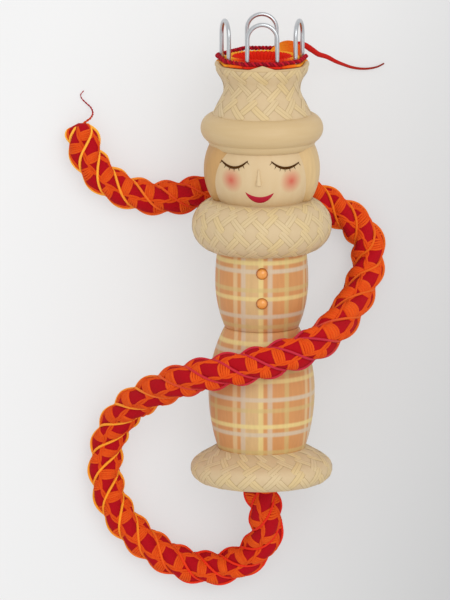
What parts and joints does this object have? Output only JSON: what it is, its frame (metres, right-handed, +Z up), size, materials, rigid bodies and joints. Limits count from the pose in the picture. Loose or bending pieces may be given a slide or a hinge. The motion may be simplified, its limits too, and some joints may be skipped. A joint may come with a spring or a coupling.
{
  "type": "knitting nancy",
  "caption": "Turned wooden spool-knitting doll lying on its back, with wire hooks round the mouth of its bored hat and the knitted cord it makes looped loosely round its body.",
  "frame": {"origin": "on the table, under the middle of the lying doll, halfway between its foot and the tips of its hooks", "axes": "+Y along the table from the doll's foot towards its hooks, +Z up from the table, the way the face looks, +X across the doll to the right of someone who looks down at the face"},
  "size_m": [0.0927, 0.1653, 0.0464],
  "materials": {
    "straw_pattern": "turned wood with a herringbone straw pattern, satin varnish",
    "plaid_paint": "turned wood painted with a plaid, satin varnish",
    "pale_wood": "turned pale wood, satin varnish",
    "hair_wood": "darker turned wood, satin varnish",
    "core_card": "plain wound tube",
    "hook_wire": "drawn wire",
    "bead_paint": "glossy orange paint on a wooden bead",
    "orange_yarn": "knitted variegated yarn",
    "red_yarn": "twisted yarn"
  },
  "bodies": {
    "root": {"base": "straw_pattern", "skirt": "plaid_paint", "torso": "plaid_paint", "collar": "straw_pattern", "head": "pale_wood", "hair": "hair_wood", "nose": "pale_wood", "hat_brim": "straw_pattern", "hat_crown": "straw_pattern", "core_tube": "core_card", "hook_front": "hook_wire", "hook_back": "hook_wire", "hook_left": "hook_wire", "hook_right": "hook_wire", "button_upper": "bead_paint", "button_lower": "bead_paint", "stitch_loops": "orange_yarn", "working_yarn": "red_yarn", "yarn_tail": "red_yarn", "cord_in_bore": "red_yarn", "knitted_cord": "orange_yarn", "cast_on_tail": "orange_yarn"}
  },
  "joints": []
}
